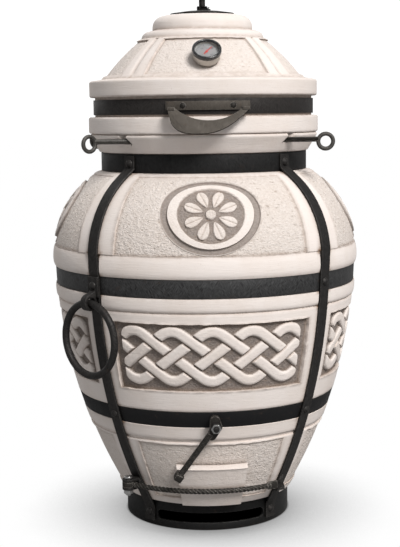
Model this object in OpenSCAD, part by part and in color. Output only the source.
// Clay tandoor oven on a steel base, with a hinged clay lid, bound in forged steel straps.
// Millimetres. Z is up, the front looks along -Y, and the origin is the centre of the base on the ground.
// An azimuth is counted from the front, positive towards +X.

/* [Belly] */
// Radius of the belly at its widest
girth_r = 303.5; // [296:0.5:312]
// Height of the widest place above the ground
girth_z = 538; // [530:1:552]
// Radius of the shoulder's arc above the widest place
shoulder_arc = 177; // [168:1:186]
// How far the long arc below the widest place stays inside it
lower_step = 3; // [1:0.5:5]
// How far that long arc comes in down to the clay's foot
foot_step = 128.25; // [122:0.25:134]
// How far the bead above the girth hoop stands out
bead_rise = 4.5; // [2:0.5:6]
// How far the band below the girth hoop stands out
band_rise = 3; // [1:0.5:4]
// Thickness of the clay wall
wall = 45; // [38:1:48]
// Thickness of the clay floor
floor_t = 44; // [36:1:50]

/* [Neck and rim] */
// Distance from the widest place in to the clay under the neck hoop
neck_step = 102.5; // [98:0.5:107]
// Distance from the neck out to the rim's outer edge
rim_flare = 25; // [21:1:31]
// Distance from the passage through the neck out to the mouth at the rim
mouth_flare = 20; // [16:1:26]
// Height of the flared collar that carries the rim
collar_h = 36; // [32:1:42]

/* [Carved panels] */
// Half the angle that one panel takes up
panel_half_angle = 38.5; // [34:0.5:39]
// Height of the knot panels
knot_h = 128; // [110:1:132]
// Clay left between the lower hoop and the knot panels
knot_margin = 41; // [34:1:46]
// Depth of the knot panels
knot_depth = 9; // [5:0.5:12]
// Depth of the rough panels
rough_depth = 3; // [1.5:0.5:5]
// Half the angle of a rough panel
rough_half_angle = 36; // [30:1:38]
// Half the width of the round medallion
medallion_w = 94; // [84:1:100]
// Half the height of the round medallion
medallion_h = 73; // [66:1:73]
// Width of the medallion's sunken ring
medallion_groove = 12; // [8:1:14]

/* [Base] */
// Height of the base ring
base_h = 52; // [46:1:58]
// Thickness of the base ring's wall
base_t = 5; // [3:0.5:7]
// How far the ring stands back from the clay above it
base_inset = 7; // [4:0.5:9]
// Height of the flange that the clay stands on
seat_z = 44; // [38:1:45]
// Thickness of that flange
flange_t = 5; // [3:0.5:8]
// Radius of the hole in that flange
flange_bore_r = 60; // [40:1:90]
// Height of the air slot in the base ring
slot_h = 20; // [14:1:22]
// Height of the slot's lower edge
slot_z = 14; // [10:1:15]
// Half the angle that the slot takes up
slot_half_angle = 36; // [28:1:37]

/* [Hoops and straps] */
// Width of the neck and girth hoops
hoop_w = 35; // [30:1:38]
// Width of the lower hoop
lower_hoop_w = 31; // [26:1:35]
// Height of the lower hoop's lower edge
lower_hoop_z = 226; // [216:1:236]
// Distance from the widest place down to the girth hoop
girth_hoop_drop = 29; // [24:1:34]
// Thickness of the hoops
hoop_t = 3; // [2:0.5:4]
// Width of the straps
strap_w = 25; // [20:1:28]
// Thickness of the straps
strap_t = 4; // [3:0.5:5]
// Radius of a rivet's shank
rivet_r = 4; // [3:0.5:5]
// Radius of a rivet's domed head
rivet_head_r = 8; // [7:0.5:9]
// Height of a rivet's domed head
rivet_head_h = 5; // [3:0.5:6]

/* [Ash door] */
// Width of the door at its top
door_top_w = 136; // [128:1:144]
// Width of the door at its foot
door_foot_w = 112; // [106:1:120]
// Height of the door's lower edge
door_z = 58; // [56:1:62]
// Height of the door
door_h = 88; // [82:1:92]
// How far the door stands out from the body
door_proud = 17; // [13:0.5:19]
// Width of the ash opening through the wall
ash_w = 96; // [84:1:100]
// Height of the ash opening
ash_h = 38; // [32:1:39]
// Length of the door's plug inside the opening
plug_len = 34; // [26:1:38]

/* [Gate bar and latch] */
// Gap between the gate bar and the ash door
gate_gap = 1.2; // [1:0.1:3]
// Height of the gate bar
gate_z = 95; // [92:1:98]
// Radius of the gate bar
gate_bar_r = 5.5; // [4:0.5:6]
// Azimuth at which the gate bar ends
gate_end = 38; // [36:0.5:40]
// Radius of the gate bar's pin
gate_pin_r = 5; // [4:0.5:6]
// Sideways place of the latch's stud
latch_x = 6; // [0:1:12]
// Length of the latch arm from stud to foot
latch_len = 126; // [122:1:128]
// Angle between the hanging latch arm and the plumb line
latch_lean = 33.5; // [31:0.5:35]
// Radius of the latch arm
latch_r = 6; // [4:0.5:7]
// Radius of the latch's stud
latch_stud_r = 5; // [4:0.5:6]

/* [Ring handles] */
// Radius of a ring handle, to the middle of its bar
ring_r = 68; // [60:1:72]
// Radius of a ring handle's bar
ring_bar_r = 7; // [5:0.5:7.5]
// Angle by which a ring hangs turned away from the body's tangent
ring_turn = 1; // [0:1:9]

/* [Cross rods] */
// Distance from the passage through the neck out to each cross rod
rod_step = 4; // [3:0.5:6]
// Radius of a cross rod
rod_r = 5; // [4:0.5:6]
// How far the middle of a rod's eye stays inside the rim's edge
rod_eye_in = 3; // [0:0.5:6]
// Radius of a rod's eye, to the middle of its bar
eye_r = 14; // [11:0.5:15]
// Radius of the bar that a rod's eye is rolled from
eye_bar_r = 4; // [3.5:0.5:5]

/* [Lid] */
// How far the lid's lower flange reaches past the rim
lid_over = 2; // [0:0.5:4]
// Height of the lid's lower flange
lid_foot_h = 32; // [28:1:36]
// Height of the groove for the lid's hoop
lid_groove_h = 38; // [36:1:42]
// Height of the lid's upper flange
lid_flange_h = 32; // [28:1:36]
// How far the lid's hoop stays inside the lower flange
lid_hoop_in = 10; // [8:0.5:13]
// Width of the lid's hoop
lid_hoop_w = 29; // [26:1:31]
// Distance from the lower flange in to the dome's foot
dome_step = 26; // [22:1:30]
// Width of the dome's slope, from its foot in to its top
dome_run = 74; // [70:1:78]
// Height of the dome's arc
dome_h = 76; // [72:1:82]
// Radius of the dome's arc
dome_arc = 380; // [340:10:440]
// Thickness of the dome
lid_wall = 40; // [34:1:44]
// Distance from the dome's top in to the ledge round the chimney cap
ledge_step = 7; // [5:1:10]
// Distance from the ledge in to the chimney cap
cap_step = 22; // [18:1:26]
// Radius of the rounding on the chimney cap
cap_round = 24; // [16:1:26]
// Radius of the chimney hole
vent_r = 40; // [34:1:44]

/* [Lid handle] */
// Half the width of the lid's handle
handle_w = 75; // [72:1:82]
// How far the handle's outer edge hangs in its own plane
handle_drop = 52; // [46:1:56]
// Width of the handle at its middle
handle_lip = 25; // [20:1:28]
// Thickness of the handle
handle_t = 5; // [4:0.5:6]
// Slope of the handle's plane below the horizontal
handle_slope = 62; // [55:1:70]

/* [Thermometer] */
// Height of the thermometer's foot above the dome's foot
thermometer_rise = 36; // [32:1:40]
// Angle by which the thermometer's axis is raised above the dome's normal
thermometer_lean = 3.8; // [0:0.1:5]
// Radius of the thermometer's case
case_r = 25; // [22:0.5:26]
// Depth of the thermometer's case
case_h = 16; // [14:1:18]
// Outer radius of the bezel
bezel_r = 27.5; // [27:0.5:29]
// Length of the probe inside the lid
probe_len = 90; // [80:1:100]
// Angle of the pointer at rest, clockwise from the top of the dial
pointer_angle = 38; // [0:1:90]

/* [Damper] */
// Radius of the damper's disc
disc_r = 63; // [56:1:66]
// Thickness of the damper's disc
disc_t = 4; // [3:0.5:5]
// How far the disc's middle rises above its edge
disc_rise = 4; // [1:0.5:6]
// Radius of the damper's stem
stem_r = 6.5; // [5:0.5:7]
// Height of the stem above the chimney cap
stem_h = 43; // [40:1:48]

/* [Rear hinge] */
// Radius of the hinge pin
hinge_pin_r = 6; // [5:0.5:7]
// Distance from the lid's flange out to the hinge pin
hinge_reach = 24; // [22:1:28]
// Distance from the middle to the inner face of a hinge arm
hinge_half_w = 34; // [30:1:40]
// Thickness of a hinge arm
hinge_arm_t = 8; // [6:0.5:10]

/* [Grate] */
// Gap between the grate and the wall round it
grate_clear = 13; // [11.5:0.5:16]
// Thickness of the grate
grate_t = 10; // [6:1:12]
// Width of one gap in the grate
grate_gap = 12; // [8:1:14]

/* [Hidden] */
$fn = 96;

clay = "#e7dcd2";
rough_clay = "#d8cbb9";
dark_steel = "#2c2d30";
worn_steel = "#55585c";
bare_steel = "#8f9396";
fit_gap = 0.3;         // between pieces that touch but don't turn in each other
run_gap = 0.06;        // round a pin or shaft that turns
arc_step = 12;         // spacing of the points that stand for an arc
corner = 3;            // chamfer on the clay's edges
strap_azimuths = [-45, 45, 135, 225];
panel_azimuths = [0, 90, 180, 270];
left_azimuth = -45;
right_azimuth = 135;

// Radii and heights that follow from the sizes above
lower_r = girth_r - lower_step;
lower_arc = (pow(foot_step, 2) + pow(girth_z - base_h, 2)) / (2 * foot_step);
neck_r = girth_r - neck_step;
neck_bore_r = neck_r - wall;
rim_r = neck_r + rim_flare;
mouth_r = neck_bore_r + mouth_flare;
rod_y = neck_bore_r + rod_step;
rod_eye_x = rim_r - rod_eye_in;
lid_r = rim_r + lid_over;
lid_hoop_r = lid_r - lid_hoop_in;
dome_foot_r = lid_r - dome_step;
dome_top_r = dome_foot_r - dome_run;
ledge_r = dome_top_r - ledge_step;
cap_r = ledge_r - cap_step;
shoulder_foot = 13;    // the shoulder ends this far outside the neck
shoulder_top_z = girth_z
    + sqrt(pow(shoulder_arc, 2) - pow(neck_r + shoulder_foot - girth_r + shoulder_arc, 2));
neck_hoop_z = shoulder_top_z + 3;
collar_z = neck_hoop_z + hoop_w + 1;
collar_foot_r = neck_r + 7;
rim_z = collar_z + collar_h;
girth_hoop_z = girth_z - girth_hoop_drop - hoop_w;
knot_z = lower_hoop_z + lower_hoop_w + knot_margin;
floor_z = seat_z + floor_t;
ledge_z = floor_z + ash_h + 4;
grate_seat_r = neck_bore_r - 18;
groove_depth = 4;      // depth of the line above the lower rough panels
foot_groove_z = lower_hoop_z - 34;
foot_groove_h = 8;
rough_low_z = base_h + 16;

// Radius of the belly at height z, moved outwards by off
function belly_r(z, off = 0) = z >= girth_z
    ? girth_r - shoulder_arc + sqrt(pow(shoulder_arc + off, 2) - pow(z - girth_z, 2))
    : lower_r - lower_arc + sqrt(pow(lower_arc + off, 2) - pow(girth_z - z, 2));
// Tilt of the belly's outward normal above the horizontal
function belly_tilt(z) = z >= girth_z
    ? asin((z - girth_z) / shoulder_arc) : asin((z - girth_z) / lower_arc);
// Points up the belly from z0 to z1, both ends included
function belly_points(z0, z1, off = 0) =
    let (n = max(1, ceil((z1 - z0) / arc_step)))
    [for (i = [0:n]) let (z = z0 + (z1 - z0) * i / n) [belly_r(z, off), z]];
function backwards(points) = [for (i = [len(points) - 1:-1:0]) points[i]];
// Points of a circle's arc from angle a0 to a1
function arc_points(r, x, z, a0, a1, n = 6) =
    [for (i = [0:n]) let (a = a0 + (a1 - a0) * i / n) [x + r * cos(a), z + r * sin(a)]];
function direction(azimuth) = [sin(azimuth), -cos(azimuth), 0];

base_r = belly_r(base_h) - base_inset;
foot_r = base_r - base_t - fit_gap;
grate_r = belly_r(ledge_z, -wall) - grate_clear;
gate_r = belly_r(gate_z, door_proud + gate_bar_r + gate_gap);
hoop_in = 0.2;         // the hoops lie this far inside the line of the belly
// The bead above the girth hoop and the band below it, as [height above the foot, share of the rise]
bead_h = 40;
bead_shape = [[0.3, 0.18], [3, 0.5], [8, 0.85], [15, 1], [22, 0.97], [29, 0.84], [35, 0.6], [bead_h, 0.25]];
bead_z = girth_hoop_z + hoop_w;
bead_top_z = bead_z + bead_h;
band_h = 26;
band_shape = [[0, 0], [2.5, 0.55], [6, 0.9], [12, 1], [20, 0.95], [band_h - 0.3, 0.6]];
band_z = girth_hoop_z - band_h;
band_line_h = 3;       // height of the line under the band
// The belly's line on both sides of the bead, from z0 to z1, moved outwards by off
function strap_points(z0, z1, off) = concat(
    belly_points(z0, bead_z, off), belly_points(bead_top_z + 3, z1, off));
function bead_points() = [for (p = bead_shape) [lower_r + bead_rise * p[1], bead_z + p[0]]];
function band_points() = [for (p = band_shape) [belly_r(band_z + p[0]) + band_rise * p[1], band_z + p[0]]];

// Turns +X to an azimuth
module at_azimuth(azimuth) {
    rotate([0, 0, azimuth - 90]) children();
}
// Sweeps a profile between two azimuths
module sector(from, to) {
    at_azimuth(from) rotate_extrude(angle = to - from) children();
}
// Puts +Z along the belly's outward normal, at height z and off outside the clay
module on_belly(azimuth, z, off = 0) {
    at_azimuth(azimuth) translate([belly_r(z, off), 0, z])
        rotate([0, 90 - belly_tilt(z), 0]) children();
}
// A flat profile in the radial plane, given a width across it
module slab(azimuth, width) {
    at_azimuth(azimuth) translate([0, width / 2, 0]) rotate([90, 0, 0])
        linear_extrude(width) children();
}
module ring(outer, inner, z0, z1) {
    translate([0, 0, z0]) difference() {
        cylinder(r = outer, h = z1 - z0);
        translate([0, 0, -1]) cylinder(r = inner, h = z1 - z0 + 2);
    }
}
module hexagon(flats, height) {
    cylinder(r = flats / sqrt(3), h = height, $fn = 6);
}
module torus(r, bar_r) {
    rotate_extrude() translate([r, 0]) circle(r = bar_r, $fn = 32);
}
// Domed head on the plane z = 0, with a shank below it
module rivet(shank_len, head_r = rivet_head_r, head_h = rivet_head_h) {
    dome_r = (pow(head_r, 2) + pow(head_h, 2)) / (2 * head_h);
    rotate_extrude($fn = 32) intersection() {
        translate([0, head_h - dome_r]) circle(r = dome_r, $fn = 48);
        square([head_r, head_h]);
    }
    translate([0, 0, -shank_len]) cylinder(r = rivet_r, h = shank_len + 0.5, $fn = 32);
}

/* Clay: a floor slab and three rings that meet under the girth and neck hoops */
low_seam_z = girth_hoop_z + hoop_w / 2;
top_seam_z = neck_hoop_z + hoop_w / 2;
// Radius of the clay behind the girth hoop
function hoop_bed_r(z) = belly_r(z) - hoop_in - hoop_t - fit_gap;
function belly_outline() = concat(
    [[grate_seat_r, seat_z], [foot_r, seat_z], [foot_r, base_h + 1]],
    belly_points(base_h + 1, foot_groove_z),
    [[belly_r(foot_groove_z) - groove_depth, foot_groove_z + 1],
     [belly_r(foot_groove_z) - groove_depth, foot_groove_z + foot_groove_h - 1]],
    belly_points(foot_groove_z + foot_groove_h, lower_hoop_z),
    [[belly_r(lower_hoop_z) - hoop_t - 2 * fit_gap, lower_hoop_z],
     [belly_r(lower_hoop_z + lower_hoop_w) - hoop_t - 2 * fit_gap, lower_hoop_z + lower_hoop_w]],
    belly_points(lower_hoop_z + lower_hoop_w, band_z - band_line_h),
    [[belly_r(band_z) - 2, band_z - band_line_h + 1]],
    band_points(),
    [[hoop_bed_r(girth_hoop_z), girth_hoop_z], [hoop_bed_r(low_seam_z), low_seam_z]],
    backwards(belly_points(ledge_z, low_seam_z, -wall)),
    [[grate_seat_r, ledge_z]]);
// The cavity's wall ends at this height, where the straight neck starts
function cavity_top_z() = girth_z + sqrt(pow(shoulder_arc - wall, 2)
    - pow(neck_bore_r - girth_r + shoulder_arc, 2));
function shoulder_outline() = concat(
    [[hoop_bed_r(low_seam_z + fit_gap), low_seam_z + fit_gap], [hoop_bed_r(bead_z), bead_z]],
    bead_points(),
    [[lower_r + 0.3, bead_top_z + 1.5]],
    belly_points(bead_top_z + 3, shoulder_top_z),
    [[neck_r, neck_hoop_z], [neck_r, top_seam_z], [neck_bore_r, top_seam_z]],
    backwards(concat(belly_points(low_seam_z + fit_gap, girth_z - 2, -wall),
                     belly_points(girth_z + 2, cavity_top_z(), -wall))));
function collar_outline() = [
    [neck_bore_r, top_seam_z + fit_gap], [neck_r, top_seam_z + fit_gap], [neck_r, collar_z],
    [collar_foot_r, collar_z + 1], [rim_r, rim_z - 6], [rim_r, rim_z - corner],
    [rim_r - corner, rim_z], [mouth_r, rim_z], [neck_bore_r, collar_z]];

// Sinks part of the belly between two heights and azimuths by depth
module sunken(azimuth, half_angle, z0, z1, depth) {
    sector(azimuth - half_angle, azimuth + half_angle) polygon(concat(
        belly_points(z0, z1, -depth), [[belly_r(z1) + 20, z1], [belly_r(z0) + 20, z0]]));
}
module ellipse(a, b) {
    polygon([for (t = [0:7.5:359]) [a * cos(t), b * sin(t)]]);
}
medallion_z = (girth_z + 12 + shoulder_top_z) / 2 + 3;
module medallion_cut(azimuth) {
    intersection() {
        on_belly(azimuth, medallion_z, -30) linear_extrude(60) difference() {
            // the local axes are turned: X runs down the shoulder and Y across it
            ellipse(medallion_h, medallion_w);
            difference() {
                ellipse(medallion_h - medallion_groove, medallion_w - medallion_groove);
                ellipse(medallion_h - 2 * medallion_groove, medallion_w - 2 * medallion_groove);
            }
        }
        sunken(azimuth, 30, medallion_z - medallion_h, shoulder_top_z - 4, rough_depth + 3);
    }
}
// The beads end on both sides of a strap, which lies between them
module strap_channels() {
    for (azimuth = strap_azimuths) slab(azimuth, strap_w + 3) polygon(concat(
        strap_points(band_z - 6, bead_top_z + 8, -fit_gap),
        [[girth_r + 20, bead_top_z + 8], [girth_r + 20, band_z - 6]]));
}
notch_bed_z = rim_z - 18;
rod_z = notch_bed_z + rod_r + fit_gap;
module rim_notches() {
    for (side = [-1, 1])
        translate([-rim_r, side * rod_y, 0])
            rotate([90, 0, 90]) linear_extrude(2 * rim_r) polygon([
                [-rod_r - 1.5, notch_bed_z], [rod_r + 1.5, notch_bed_z],
                [rod_r + 1.5, rim_z - 7], [rod_r + 5, rim_z + 1],
                [-rod_r - 5, rim_z + 1], [-rod_r - 1.5, rim_z - 7]]);
}
module clay_floor() {
    color(clay) translate([0, 0, seat_z]) cylinder(r = grate_seat_r - fit_gap, h = floor_t);
}
module clay_belly() {
    color(clay) difference() {
        rotate_extrude() polygon(belly_outline());
        for (azimuth = panel_azimuths) {
            sunken(azimuth, panel_half_angle, knot_z, knot_z + knot_h, knot_depth);
            sunken(azimuth, rough_half_angle, rough_low_z, foot_groove_z - 4, rough_depth);
        }
        strap_channels();
        translate([-ash_w / 2, -girth_r, floor_z])
            cube([ash_w, girth_r - grate_seat_r / 2, ash_h]);
    }
}
module clay_shoulder() {
    color(clay) difference() {
        rotate_extrude() polygon(shoulder_outline());
        for (azimuth = panel_azimuths) {
            sunken(azimuth, rough_half_angle, bead_top_z + 1, shoulder_top_z - 8, rough_depth);
            medallion_cut(azimuth);
        }
        strap_channels();
    }
}
module clay_collar() {
    color(clay) difference() {
        rotate_extrude() polygon(collar_outline());
        rim_notches();
    }
}

/* Base */
module base_ring() {
    color(dark_steel) difference() {
        union() {
            ring(base_r, base_r - base_t, 0, base_h);
            ring(base_r - 1, flange_bore_r, seat_z - flange_t, seat_z);
        }
        sector(-slot_half_angle, slot_half_angle)
            translate([base_r - base_t - 4, slot_z]) square([base_t + 8, slot_h]);
        for (side = [-1, 1])
            at_azimuth(side * slot_half_angle)
                translate([base_r - base_t - 4, 0, slot_z + slot_h / 2])
                    rotate([0, 90, 0]) cylinder(r = slot_h / 2 - 0.4, h = base_t + 8);
        for (azimuth = strap_azimuths) foot_rivet_place(azimuth)
            translate([0, 0, -20]) cylinder(r = rivet_r + fit_gap, h = 40);
    }
}

/* Grate */
module grate() {
    pitch = 2 * grate_gap;
    color("#3a3532") translate([0, 0, ledge_z + fit_gap]) difference() {
        cylinder(r = grate_r, h = grate_t);
        for (i = [-5:5]) {
            half = sqrt(pow(grate_r - 14, 2) - pow(min(grate_r - 20, abs(i) * pitch), 2));
            if (abs(i) * pitch < grate_r - 24)
                translate([i * pitch - grate_gap / 2, -half, -1])
                    cube([grate_gap, 2 * half, grate_t + 2]);
        }
    }
}

/* Hoops */
module neck_hoop() {
    color(dark_steel) difference() {
        ring(neck_r + fit_gap + hoop_t, neck_r + fit_gap, neck_hoop_z, neck_hoop_z + hoop_w);
        for (azimuth = strap_azimuths) neck_rivet_place(azimuth) rivet_hole();
        hinge_plate_holes();
    }
}
module girth_hoop() {
    z0 = girth_hoop_z + fit_gap;
    z1 = girth_hoop_z + hoop_w - fit_gap;
    foot = belly_r(z0) - hoop_in;
    head = belly_r(z1) - hoop_in;
    color(dark_steel) difference() {
        rotate_extrude() polygon([[foot - hoop_t, z0], [foot, z0], [head, z1], [head - hoop_t, z1]]);
        for (azimuth = strap_azimuths)
            belly_rivet_place(azimuth, girth_hoop_z + hoop_w / 2) rivet_hole();
    }
}
module lower_hoop() {
    foot = belly_r(lower_hoop_z) - 0.8;
    head = belly_r(lower_hoop_z + lower_hoop_w) - 0.8;
    z0 = lower_hoop_z + fit_gap;
    z1 = lower_hoop_z + lower_hoop_w - fit_gap;
    color(dark_steel) difference() {
        rotate_extrude() polygon([[foot - hoop_t + 0.5, z0], [foot, z0], [head, z1],
                                  [head - hoop_t + 0.5, z1]]);
        for (azimuth = strap_azimuths)
            belly_rivet_place(azimuth, lower_hoop_z + lower_hoop_w / 2) rivet_hole();
        latch_frame() translate([0, 0, -20]) cylinder(r = latch_stud_r + fit_gap, h = 60);
    }
}

/* Straps */
strap_in = fit_gap;
strap_out = strap_in + strap_t;
neck_face_r = neck_r + fit_gap + hoop_t + fit_gap;
neck_rivet_z = neck_hoop_z + hoop_w / 2;
foot_rivet_z = base_h / 2;
strap_top_z = neck_hoop_z + hoop_w - 3;
strap_foot_z = 10;
strap_kink = 15;       // below the ring's upper edge, where the strap starts to lean out
// The strap's side view, from its foot on the ring to its end on the neck hoop
function strap_side(off, base_off, neck_off) = concat(
    [[base_r + base_off, strap_foot_z], [base_r + base_off, base_h - strap_kink]],
    strap_points(base_h - 1, shoulder_top_z - 10, off),
    [[neck_face_r + neck_off, neck_hoop_z + 8 - neck_off / 2], [neck_face_r + neck_off, strap_top_z]]);
module strap(azimuth) {
    color(dark_steel) difference() {
        slab(azimuth, strap_w) polygon(concat(
            strap_side(strap_in, fit_gap, 0),
            backwards(strap_side(strap_out, fit_gap + strap_t, strap_t))));
        neck_rivet_place(azimuth) rivet_hole();
        foot_rivet_place(azimuth) rivet_hole();
        for (z = [girth_hoop_z + hoop_w / 2, lower_hoop_z + lower_hoop_w / 2])
            belly_rivet_place(azimuth, z) rivet_hole();
    }
}
// All the room inside a strap's outer face, for pieces that are seated on it
module inside_strap(azimuth, width) {
    slab(azimuth, width) polygon(concat([[0, strap_foot_z]],
        strap_side(strap_out + fit_gap, 2 * fit_gap + strap_t, strap_t), [[0, strap_top_z]]));
}
module strap_front_left() { strap(strap_azimuths[0]); }
module strap_front_right() { strap(strap_azimuths[1]); }
module strap_rear_right() { strap(strap_azimuths[2]); }
module strap_rear_left() { strap(strap_azimuths[3]); }

/* Rivets where the straps cross the hoops */
module rivet_hole() {
    translate([0, 0, -30]) cylinder(r = rivet_r + fit_gap, h = 40, $fn = 32);
}
module neck_rivet_place(azimuth) {
    at_azimuth(azimuth) translate([neck_face_r + strap_t, 0, neck_rivet_z]) rotate([0, 90, 0]) children();
}
module foot_rivet_place(azimuth) {
    at_azimuth(azimuth) translate([base_r + fit_gap + strap_t, 0, foot_rivet_z])
        rotate([0, 90, 0]) children();
}
module belly_rivet_place(azimuth, z, off = 0) {
    on_belly(azimuth, z, strap_out + off) children();
}
module neck_rivets() {
    color(worn_steel) for (azimuth = strap_azimuths)
        neck_rivet_place(azimuth) rivet(strap_t + hoop_t + fit_gap);
}
module foot_rivets() {
    color(worn_steel) for (azimuth = strap_azimuths)
        foot_rivet_place(azimuth) rivet(strap_t + base_t + fit_gap);
}
module lower_rivets() {
    color(worn_steel) for (azimuth = strap_azimuths)
        belly_rivet_place(azimuth, lower_hoop_z + lower_hoop_w / 2) rivet(strap_t + hoop_t + 0.8);
}
module girth_rivets() {
    color(worn_steel) for (azimuth = strap_azimuths) {
        over = azimuth == left_azimuth || azimuth == right_azimuth ? bracket_t + fit_gap : 0;
        belly_rivet_place(azimuth, girth_hoop_z + hoop_w / 2, over) rivet(strap_t + hoop_t + over + 0.2);
    }
}

/* Ring handles and the brackets that carry them */
bracket_t = 4;
bracket_w = strap_w + 2;
lug_w = 14;
lug_bore_r = ring_bar_r + 2.5;
lug_r = lug_bore_r + 6;
lug_z = girth_hoop_z - 13;
lug_reach = belly_r(girth_hoop_z, strap_out + fit_gap + bracket_t) + lug_bore_r + 1;
module ring_bracket(azimuth) {
    plate_in = strap_out + fit_gap;
    plate_z0 = girth_hoop_z - 4;
    plate_z1 = girth_hoop_z + hoop_w - 1;
    color(dark_steel) difference() {
        union() {
            slab(azimuth, bracket_w) polygon(concat(
                belly_points(plate_z0, plate_z1, plate_in),
                backwards(belly_points(plate_z0, plate_z1, plate_in + bracket_t))));
            slab(azimuth, lug_w) {
                translate([lug_reach, lug_z]) circle(r = lug_r);
                polygon([[belly_r(plate_z0, plate_in + 1), plate_z0 + 1],
                         [belly_r(plate_z0, plate_in + 1), girth_hoop_z + 10],
                         [lug_reach + 2, lug_z + lug_r - 0.5], [lug_reach, lug_z]]);
            }
        }
        at_azimuth(azimuth) translate([lug_reach, 30, lug_z]) rotate([90, 0, 0])
            cylinder(r = lug_bore_r, h = 60);
        belly_rivet_place(azimuth, girth_hoop_z + hoop_w / 2) rivet_hole();
        inside_strap(azimuth, bracket_w + 10);
    }
}
module ring_bracket_left() { ring_bracket(left_azimuth); }
module ring_bracket_right() { ring_bracket(right_azimuth); }
ring_top_z = lug_z - 1.2;
module ring_handle(azimuth) {
    color(dark_steel) at_azimuth(azimuth) translate([lug_reach, 0, ring_top_z - ring_r])
        rotate([0, 0, -ring_turn]) rotate([0, 90, 0]) torus(ring_r, ring_bar_r);
}
module ring_handle_left() { ring_handle(left_azimuth); }
module ring_handle_right() { ring_handle(right_azimuth); }

/* Ash door: a clay plug with a ledge */
door_gap = 0.6;
door_top_z = door_z + door_h;
module ash_door() {
    plug_gap = 2;
    color(clay) {
        intersection() {
            sector(-30, 30) polygon(concat(
                belly_points(door_z, door_top_z, door_gap),
                [[belly_r(door_top_z, door_proud), door_top_z - 5]],
                backwards(belly_points(door_z, door_top_z - 7, door_proud))));
            rotate([90, 0, 0]) linear_extrude(girth_r) polygon([
                [-door_foot_w / 2, door_z - 1], [door_foot_w / 2, door_z - 1],
                [door_top_w / 2, door_top_z + 1], [-door_top_w / 2, door_top_z + 1]]);
        }
        difference() {
            translate([-ash_w / 2 + plug_gap, -belly_r(floor_z, door_gap + 4), floor_z + fit_gap])
                cube([ash_w - 2 * plug_gap, plug_len + 4, ash_h - plug_gap - fit_gap]);
            // trims the plug's front so that it ends inside the slab
            sector(-40, 40) polygon(concat(belly_points(door_z, door_top_z, door_gap + 6),
                [[girth_r, door_top_z], [girth_r, door_z]]));
        }
    }
}

/* Gate bar across the ash door, its bracket, pin, nut and keeper */
gate_eye_h = 10;
gate_eye_r = 12;
gate_ear_t = 5;
gate_pin_azimuth = -45;
gate_pin_reach = gate_r + 4;
ear_gap = 0.5;
module gate_pin_place() {
    at_azimuth(gate_pin_azimuth) translate([gate_pin_reach, 0, gate_z]) children();
}
module gate_bracket() {
    ear_z = [gate_eye_h / 2 + ear_gap, -gate_eye_h / 2 - ear_gap - gate_ear_t];
    color(dark_steel) difference() {
        union() {
            for (z = ear_z) {
                gate_pin_place() translate([0, 0, z]) cylinder(r = gate_eye_r, h = gate_ear_t);
                at_azimuth(gate_pin_azimuth)
                    translate([base_r - 4, -gate_eye_r, gate_z + z])
                        cube([gate_pin_reach - base_r + 4, 2 * gate_eye_r, gate_ear_t]);
            }
            at_azimuth(gate_pin_azimuth)
                translate([base_r - 4, -gate_eye_r, gate_z + ear_z[1]])
                    cube([belly_r(gate_z, strap_out) + 8 - base_r + 4, 2 * gate_eye_r,
                          2 * (gate_eye_h / 2 + ear_gap + gate_ear_t)]);
        }
        gate_pin_place() translate([0, 0, -40]) cylinder(r = gate_pin_r + run_gap, h = 80);
        inside_strap(gate_pin_azimuth, 60);
    }
}
module gate_pin() {
    ear_top = gate_eye_h / 2 + ear_gap + gate_ear_t;
    color(bare_steel) gate_pin_place() {
        translate([0, 0, -ear_top - 12]) cylinder(r = gate_pin_r, h = 2 * ear_top + 12.5);
        translate([0, 0, ear_top + fit_gap]) cylinder(r = gate_pin_r + 3, h = 5);
    }
}
module gate_pin_nut() {
    ear_top = gate_eye_h / 2 + ear_gap + gate_ear_t;
    color(bare_steel) gate_pin_place() translate([0, 0, -ear_top - 8 - fit_gap]) difference() {
        hexagon(2 * gate_pin_r + 7, 8);
        translate([0, 0, -1]) cylinder(r = gate_pin_r + run_gap, h = 10);
    }
}
blade_t = 5;
blade_h = 14;
module gate_bar() {
    twist_end = gate_end - 8;
    color(worn_steel) difference() {
        union() {
            gate_pin_place() translate([0, 0, -gate_eye_h / 2])
                cylinder(r = gate_eye_r, h = gate_eye_h);
            sector(gate_pin_azimuth + 2, twist_end) translate([gate_r, gate_z])
                circle(r = gate_bar_r, $fn = 32);
            sector(twist_end - 1, gate_end) translate([gate_r - blade_t / 2, gate_z - blade_h / 2])
                square([blade_t, blade_h]);
        }
        gate_pin_place() translate([0, 0, -20]) cylinder(r = gate_pin_r + run_gap, h = 40);
    }
}
module gate_keeper() {
    shelf_t = 5;
    top = gate_z - blade_h / 2 - fit_gap;
    color(dark_steel) difference() {
        sector(gate_end - 4, 46) translate([base_r, top - shelf_t])
            square([gate_r + 5 - base_r, shelf_t]);
        inside_strap(-gate_pin_azimuth, 90);
        rotate_extrude() polygon(concat(belly_points(rough_low_z, gate_z + 20, strap_out + 1),
                                        [[0, gate_z + 20], [0, rough_low_z]]));
    }
    color(dark_steel) difference() {
        sector(45 - 3.2, 45 + 3.2) translate([base_r, top - shelf_t])
            square([belly_r(gate_z, strap_out) + 5 - base_r, shelf_t + 16]);
        inside_strap(-gate_pin_azimuth, 90);
    }
}

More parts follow.
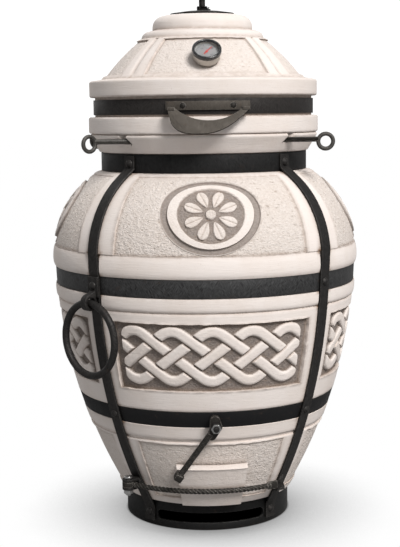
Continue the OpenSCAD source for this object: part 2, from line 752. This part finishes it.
/* Latch arm on the lower hoop */
latch_z = lower_hoop_z + 9;
latch_tilt = 14;
latch_plate_t = 8;
latch_stand = 9;
latch_nut_h = 8;
latch_face_r = belly_r(latch_z) - 0.8;
module latch_frame() {
    // X to the right, Y up, Z out along the stud
    translate([latch_x, -sqrt(pow(latch_face_r, 2) - pow(latch_x, 2)), latch_z])
        rotate([90 + latch_tilt, 0, 0]) children();
}
module latch_stud() {
    // the stud ends inside the hoop's hole, and its collar is faced to the hoop
    color(dark_steel) {
        latch_frame() translate([0, 0, -1.4]) cylinder(r = latch_stud_r,
            h = latch_stand + latch_plate_t + latch_nut_h + 5.6);
        difference() {
            latch_frame() translate([0, 0, -8])
                cylinder(r = latch_stud_r + 5, h = latch_stand + 8 - fit_gap);
            rotate_extrude() polygon([
                [0, lower_hoop_z - 20], [belly_r(lower_hoop_z - 20) - 0.5, lower_hoop_z - 20],
                [belly_r(lower_hoop_z + lower_hoop_w) - 0.5, lower_hoop_z + lower_hoop_w],
                [0, lower_hoop_z + lower_hoop_w]]);
        }
    }
}
module latch_nut() {
    color(bare_steel) latch_frame()
        translate([0, 0, latch_stand + latch_plate_t + fit_gap]) difference() {
            hexagon(2 * latch_stud_r + 7, latch_nut_h);
            translate([0, 0, -1]) cylinder(r = latch_stud_r + run_gap, h = latch_nut_h + 2);
        }
}
module latch_arm() {
    eye_w = 12;
    head_w = 10;
    head_up = [-2, 13];
    head_low = [-8, -19];
    foot_pad = 18;
    bar_start = 24;
    color(worn_steel) latch_frame() difference() {
        union() {
            // the forged head stands upright, and the bar leaves it at a slant
            translate([0, 0, latch_stand]) linear_extrude(latch_plate_t) {
                hull() {
                    circle(r = eye_w);
                    translate(head_up) circle(r = head_w);
                }
                hull() {
                    circle(r = eye_w);
                    translate(head_low) circle(r = head_w - 1);
                }
            }
            rotate([0, 0, -latch_lean]) {
                translate([0, -bar_start + 8, latch_stand + latch_plate_t / 2]) rotate([90, 0, 0])
                    cylinder(r = latch_r, h = latch_len - bar_start + 8, $fn = 32);
                translate([0, -latch_len, latch_stand + latch_plate_t / 2 - foot_pad + 8])
                    cylinder(r = latch_r + 3, h = foot_pad, $fn = 32);
            }
        }
        translate([0, 0, -20]) cylinder(r = latch_stud_r + run_gap, h = 60);
    }
}

/* Cross rods */
eye_drop = 4;
module cross_rod(side, left_turn, right_turn) {
    shaft = rod_eye_x - eye_r;
    color(worn_steel) translate([0, side * rod_y, rod_z]) {
        translate([-shaft, 0, 0]) rotate([0, 90, 0]) cylinder(r = rod_r, h = 2 * shaft, $fn = 32);
        for (side = [-1, 1])
            translate([side * shaft, 0, -eye_drop]) rotate([0, 0, side < 0 ? left_turn : right_turn])
                translate([side * eye_r, 0, 0]) rotate([90, 0, 0]) torus(eye_r, eye_bar_r);
    }
}
module cross_rod_front() { cross_rod(-1, 40, 0); }
module cross_rod_rear() { cross_rod(1, 40, 0); }

/* Lid */
lid_z = rim_z + fit_gap;
lid_groove_z = lid_z + lid_foot_h;
lid_flange_z = lid_groove_z + lid_groove_h;
dome_z = lid_flange_z + lid_flange_h + 3;
dome_top_z = dome_z + dome_h;
cap_base_z = dome_top_z + 19;
cap_z = cap_base_z + cap_round + 4;
dome_chord = norm([dome_foot_r - dome_top_r, dome_h]);
dome_depth = sqrt(pow(dome_arc, 2) - pow(dome_chord / 2, 2));
dome_cx = (dome_foot_r + dome_top_r) / 2 - dome_depth * dome_h / dome_chord;
dome_cz = dome_z + dome_h / 2 - dome_depth * (dome_foot_r - dome_top_r) / dome_chord;
function dome_r(z, off = 0) = dome_cx + sqrt(pow(dome_arc + off, 2) - pow(z - dome_cz, 2));
function dome_z_at(r, off = 0) = dome_cz + sqrt(pow(dome_arc + off, 2) - pow(r - dome_cx, 2));
function dome_points(z0, z1, off = 0) =
    let (n = max(1, ceil((z1 - z0) / arc_step)))
    [for (i = [0:n]) let (z = z0 + (z1 - z0) * i / n) [dome_r(z, off), z]];
function lid_outline() = concat(
    [[mouth_r, lid_z], [lid_r - corner, lid_z], [lid_r, lid_z + corner],
     [lid_r, lid_groove_z - corner], [lid_r - corner, lid_groove_z],
     [lid_hoop_r - hoop_t - fit_gap, lid_groove_z], [lid_hoop_r - hoop_t - fit_gap, lid_flange_z],
     [lid_r - 2 - corner, lid_flange_z], [lid_r - 2, lid_flange_z + corner],
     [lid_r - 2, lid_flange_z + lid_flange_h - corner],
     [lid_r - 2 - corner, lid_flange_z + lid_flange_h]],
    dome_points(dome_z, dome_top_z),
    [[ledge_r, dome_top_z + 2]],
    arc_points(14, ledge_r - 14, dome_top_z + 2, 0, 90),
    [[cap_r, cap_base_z - 1]],
    arc_points(cap_round, cap_r - cap_round, cap_z - cap_round, 0, 90),
    [[vent_r, cap_z], [vent_r, dome_z_at(vent_r + 2, -lid_wall)]],
    backwards(dome_points(dome_z_at(mouth_r, -lid_wall), dome_z_at(vent_r + 2, -lid_wall), -lid_wall)));
module lid_clay() {
    color(clay) difference() {
        rotate_extrude() polygon(lid_outline());
        for (azimuth = panel_azimuths)
            sector(azimuth - rough_half_angle, azimuth + rough_half_angle) polygon(concat(
                dome_points(dome_z + 6, dome_top_z - 3, -rough_depth),
                [[dome_r(dome_top_z - 3) + 20, dome_top_z - 3], [dome_foot_r + 20, dome_z + 6]]));
        thermometer_frame() {
            translate([0, 0, -lid_wall - 20]) cylinder(r = probe_r + 1, h = lid_wall + 60);
            translate([0, 0, -lid_wall - 20]) cylinder(r = washer_r + 1.5, h = 20.5);
        }
        translate([-bridge_half - fit_gap, -bridge_w / 2 - fit_gap, bridge_z - fit_gap])
            cube([2 * (bridge_half + fit_gap), bridge_w + 2 * fit_gap, bridge_t + 2 * fit_gap]);
        lid_plate_holes();
    }
}
lid_hoop_z = lid_groove_z + 4;
module lid_hoop() {
    color(worn_steel) difference() {
        ring(lid_hoop_r, lid_hoop_r - hoop_t, lid_hoop_z, lid_hoop_z + lid_hoop_w);
        lid_plate_holes();
    }
}

/* Lid handle: a plate on the hoop, two tabs and a hanging lip */
handle_plate_t = 4;
handle_plate_h = 16;
handle_plate_z = lid_hoop_z + 8;
module handle_rivet_place() {
    for (azimuth = [-12, 12]) at_azimuth(azimuth)
        translate([lid_hoop_r + fit_gap + handle_plate_t, 0, handle_plate_z + handle_plate_h / 2])
            rotate([0, 90, 0]) children();
}
module lid_handle_rivets() {
    color(worn_steel) handle_rivet_place() rivet(handle_plate_t + hoop_t + fit_gap, 6, 3);
}
module lid_handle() {
    plate_z = handle_plate_z;
    plate_h = handle_plate_h;
    half_angle = asin((handle_w + 1) / lid_hoop_r);
    tab_y = lid_hoop_r * cos(half_angle) - 2;
    tab_end = lid_r + 12;
    tab_z = plate_z;
    // the lip's outer edge is full on the left and tapers off to the right
    peak = 0.4;
    lip_edge = [for (i = [0:24]) let (u = i / 24, v = u < peak ? (peak - u) / peak : (u - peak) / (1 - peak))
        [handle_w * (2 * u - 1),
         handle_drop * (u < peak ? sqrt(1 - pow(v, 3.5)) : 1 - pow(v, 2.1)) + 1]];
    inner_drop = handle_drop - handle_lip;
    inner_w = handle_w - 12;
    inner_arc = (pow(inner_w, 2) + pow(inner_drop, 2)) / (2 * inner_drop);
    color("#4b4640") {
        difference() {
            union() {
                sector(-half_angle, half_angle) translate([lid_hoop_r + fit_gap, plate_z])
                    square([handle_plate_t, plate_h]);
                for (side = [-1, 1])
                    translate([side * (handle_w - 6.5) - 6.5, -tab_end, tab_z])
                        cube([13, tab_end - tab_y, handle_t]);
            }
            cylinder(r = lid_hoop_r + fit_gap, h = 2 * lid_z);
            handle_rivet_place() rivet_hole();
        }
        translate([0, -tab_end + 4, tab_z + handle_t]) rotate([handle_slope + 180, 0, 0])
            linear_extrude(handle_t) difference() {
                polygon(concat([[handle_w, 0], [-handle_w, 0]], lip_edge));
                translate([0, inner_drop - inner_arc]) circle(r = inner_arc);
            }
    }
}

/* Rear hinge */
hinge_y = lid_r + hinge_reach;
hinge_z = lid_z + 18;
knuckle_r = hinge_pin_r + 7;
strap_x = hinge_half_w - 0.5;
plate_angles = [-10, 10];
module side_plate(x, thickness) {
    translate([x, 0, 0]) rotate([90, 0, 90]) linear_extrude(thickness) children();
}
module hinge_bore() {
    translate([-100, hinge_y, hinge_z]) rotate([0, 90, 0])
        cylinder(r = hinge_pin_r + run_gap, h = 200);
}
module hinge_plate_holes() {
    for (a = plate_angles) at_azimuth(180 + a * 0.55)
        translate([neck_face_r, 0, neck_rivet_z]) rotate([0, 90, 0]) rivet_hole();
}
module lid_plate_holes() {
    for (a = plate_angles) at_azimuth(180 + a * 0.35)
        translate([lid_hoop_r, 0, lid_hoop_z + lid_hoop_w / 2]) rotate([0, 90, 0])
            translate([0, 0, -hoop_t - 4]) cylinder(r = rivet_r + fit_gap, h = 30, $fn = 32);
    handle_rivet_place() translate([0, 0, -hoop_t - handle_plate_t - 4])
        cylinder(r = rivet_r + fit_gap, h = 30, $fn = 32);
}
module hinge_bracket() {
    low = neck_hoop_z + 4;
    high = neck_hoop_z + hoop_w - 4;
    plate_t = 5;
    arm_arc = hinge_z - low - 1;
    color(dark_steel) difference() {
        union() {
            sector(180 - 12, 180 + 12) translate([neck_face_r, low]) square([plate_t, high - low]);
            for (x = [-hinge_half_w - hinge_arm_t, hinge_half_w]) side_plate(x, hinge_arm_t) {
                translate([hinge_y, hinge_z]) circle(r = knuckle_r);
                polygon(concat(
                    [[neck_face_r - 2, low], [neck_face_r - 2, high],
                     [collar_foot_r + 4, collar_z - 4], [rim_r + 4, rim_z - 10],
                     [hinge_y - knuckle_r, hinge_z]],
                    arc_points(arm_arc, hinge_y + knuckle_r - arm_arc, hinge_z, 0, -72, 9)));
            }
        }
        hinge_bore();
        hinge_plate_holes();
        cylinder(r = neck_face_r, h = collar_z + 1);
    }
}
module hinge_bracket_rivets() {
    color(worn_steel) for (a = plate_angles) at_azimuth(180 + a * 0.55)
        translate([neck_face_r + 5, 0, neck_rivet_z]) rotate([0, 90, 0])
            rivet(5 + hoop_t + fit_gap);
}
module hinge_pin() {
    reach = hinge_half_w + hinge_arm_t;
    color(bare_steel) translate([-reach - 6, hinge_y, hinge_z]) rotate([0, 90, 0]) {
        cylinder(r = hinge_pin_r, h = 2 * reach + 10);
        translate([0, 0, 0.5]) cylinder(r = hinge_pin_r + 3, h = 5);
        translate([0, 0, 2 * reach + 6.5]) cylinder(r = hinge_pin_r + 3, h = 5);
    }
}
module lid_hinge_straps() {
    low = lid_hoop_z + 2;
    high = lid_hoop_z + lid_hoop_w - 3;
    color(dark_steel) difference() {
        union() {
            sector(180 - 8, 180 + 8) translate([lid_hoop_r + fit_gap, low]) square([4, high - low]);
            for (x = [-strap_x, strap_x - hinge_arm_t]) side_plate(x, hinge_arm_t) {
                translate([hinge_y, hinge_z]) circle(r = knuckle_r);
                polygon(concat(
                    [[hinge_y - knuckle_r + 0.5, hinge_z], [lid_r + 4, low],
                     [lid_hoop_r - 4, low], [lid_hoop_r - 4, high]],
                    arc_points(high - hinge_z, hinge_y + knuckle_r - high + hinge_z, hinge_z, 90, 0)));
            }
        }
        hinge_bore();
        lid_plate_holes();
        cylinder(r = lid_hoop_r + fit_gap, h = 2 * lid_z);
    }
}
module lid_hinge_rivets() {
    color(worn_steel) for (a = plate_angles) at_azimuth(180 + a * 0.35)
        translate([lid_hoop_r + 4 + fit_gap, 0, lid_hoop_z + lid_hoop_w / 2]) rotate([0, 90, 0])
            rivet(4 + hoop_t + fit_gap);
}

/* Thermometer */
probe_r = 3;
washer_r = 12;
thermometer_z = dome_z + thermometer_rise;
dial_z = case_h - 4;
lens_z = case_h + 1.5;
// the dome's normal at the thermometer's foot, and the thermometer's own axis, above the horizontal
dome_tilt = asin((thermometer_z - dome_cz) / dome_arc);
thermometer_slope = dome_tilt + thermometer_lean;
case_sink = rough_depth - 2 * fit_gap - case_r * tan(thermometer_lean);
module thermometer_frame() {
    // Z runs out along the axis, from the dome's surface, and Y points up the dial
    translate([0, -dome_r(thermometer_z), thermometer_z]) rotate([90 - thermometer_slope, 0, 0])
        children();
}
module thermometer_case() {
    color("#b9b3aa") thermometer_frame() difference() {
        translate([0, 0, -case_sink]) cylinder(r = case_r, h = case_h + case_sink);
        cylinder(r = case_r - 1.5, h = case_h + 1);
        translate([0, 0, -10]) cylinder(r = probe_r + run_gap, h = 20);
    }
}
module thermometer_bezel() {
    low = case_h - 3;
    high = case_h + 5;
    color("#1d1d1f") thermometer_frame() difference() {
        translate([0, 0, low]) cylinder(r = bezel_r, h = high - low);
        translate([0, 0, low - 1]) cylinder(r = case_r + run_gap, h = case_h + 0.3 - low + 1);
        cylinder(r = case_r - 2, h = high + 1);
    }
}
module thermometer_dial() {
    color("#c9cacb") thermometer_frame() difference() {
        translate([0, 0, dial_z - 1]) cylinder(r = case_r - 1.5 - fit_gap, h = 1);
        translate([0, 0, -1]) cylinder(r = 1 + run_gap, h = case_h);
    }
}
module thermometer_pointer() {
    color("#c0281e") thermometer_frame() rotate([0, 0, -pointer_angle]) {
        translate([0, 0, dial_z + 0.5]) linear_extrude(0.8) {
            polygon([[-1.4, -8], [1.4, -8], [0.5, 17], [-0.5, 17]]);
            circle(r = 2.2);
        }
        translate([0, 0, dial_z - 6]) cylinder(r = 1, h = 7);
    }
}
module thermometer_lens() {
    color("#dfe9ee", 0.4) thermometer_frame() translate([0, 0, lens_z])
        cylinder(r = case_r - 2 - run_gap, h = 1.5);
}
module thermometer_probe() {
    color(bare_steel) thermometer_frame() translate([0, 0, -probe_len]) {
        cylinder(r = probe_r, h = probe_len + 3);
    }
}
module thermometer_nut() {
    color(bare_steel) thermometer_frame() translate([0, 0, -lid_wall + 0.5 - fit_gap]) difference() {
        union() {
            translate([0, 0, -2]) cylinder(r = washer_r, h = 2);
            translate([0, 0, -8]) hexagon(14, 6.5);
        }
        translate([0, 0, -20]) cylinder(r = probe_r + run_gap, h = 40);
    }
}

/* Damper on the chimney */
bridge_w = 24;
bridge_t = 6;
bridge_z = dome_z_at(vent_r + 14, -lid_wall) - bridge_t;
bridge_half = dome_r(bridge_z, -lid_wall) + 8;
stem_nut_h = 9;
module damper_bridge() {
    color(dark_steel) difference() {
        translate([-bridge_half, -bridge_w / 2, bridge_z]) cube([2 * bridge_half, bridge_w, bridge_t]);
        translate([0, 0, bridge_z - 1]) cylinder(r = stem_r + run_gap, h = bridge_t + 2);
    }
}
module damper_stem() {
    foot = bridge_z - stem_nut_h - 6;
    color(dark_steel) {
        translate([0, 0, foot]) cylinder(r = stem_r, h = cap_z + stem_h - 2 - foot);
        translate([0, 0, cap_z + stem_h - 2.01]) cylinder(r1 = stem_r, r2 = stem_r - 2, h = 2);
    }
}
module damper_stem_nuts() {
    color(bare_steel) for (z = [bridge_z - stem_nut_h - fit_gap, bridge_z + bridge_t + fit_gap])
        translate([0, 0, z]) difference() {
            hexagon(2 * stem_r + 9, stem_nut_h);
            translate([0, 0, -1]) cylinder(r = stem_r + run_gap, h = stem_nut_h + 2);
        }
}
disc_z = cap_z + fit_gap;
hub_r = stem_r + 4;
hub_h = 10;
screw_z = disc_z + disc_t + disc_rise + hub_h / 2;
screw_r = 2.5;
module damper_disc() {
    color("#3b3733") difference() {
        union() {
            rotate_extrude() polygon([[0, disc_z], [disc_r, disc_z], [disc_r, disc_z + disc_t],
                [disc_r - 26, disc_z + disc_t + disc_rise], [0, disc_z + disc_t + disc_rise]]);
            translate([0, 0, disc_z + disc_t]) cylinder(r = hub_r, h = disc_rise + hub_h);
        }
        translate([0, 0, disc_z - 1])
            cylinder(r = stem_r + run_gap, h = disc_t + disc_rise + hub_h + 2);
        translate([0, 0, screw_z]) rotate([0, 90, 0]) cylinder(r = screw_r + run_gap, h = 40);
    }
}
module damper_thumb_screw() {
    color(bare_steel) translate([0, 0, screw_z]) rotate([0, 90, 0]) {
        translate([0, 0, stem_r + 0.4]) cylinder(r = screw_r, h = hub_r - stem_r + 2);
        translate([0, 0, hub_r + 1]) cylinder(r = 4.4, h = 5);
    }
}

base_ring();
clay_floor();
clay_belly();
clay_shoulder();
clay_collar();
neck_hoop();
girth_hoop();
lower_hoop();
strap_front_left();
strap_front_right();
strap_rear_left();
strap_rear_right();
neck_rivets();
girth_rivets();
lower_rivets();
foot_rivets();
ring_bracket_left();
ring_bracket_right();
ring_handle_left();
ring_handle_right();
hinge_bracket();
hinge_bracket_rivets();
hinge_pin();
gate_bracket();
gate_pin();
gate_pin_nut();
gate_keeper();
gate_bar();
latch_stud();
latch_nut();
latch_arm();
ash_door();
grate();
cross_rod_front();
cross_rod_rear();
lid_clay();
lid_hoop();
lid_handle();
lid_handle_rivets();
lid_hinge_straps();
lid_hinge_rivets();
thermometer_case();
thermometer_bezel();
thermometer_dial();
thermometer_pointer();
thermometer_lens();
thermometer_probe();
thermometer_nut();
damper_bridge();
damper_stem();
damper_stem_nuts();
damper_disc();
damper_thumb_screw();
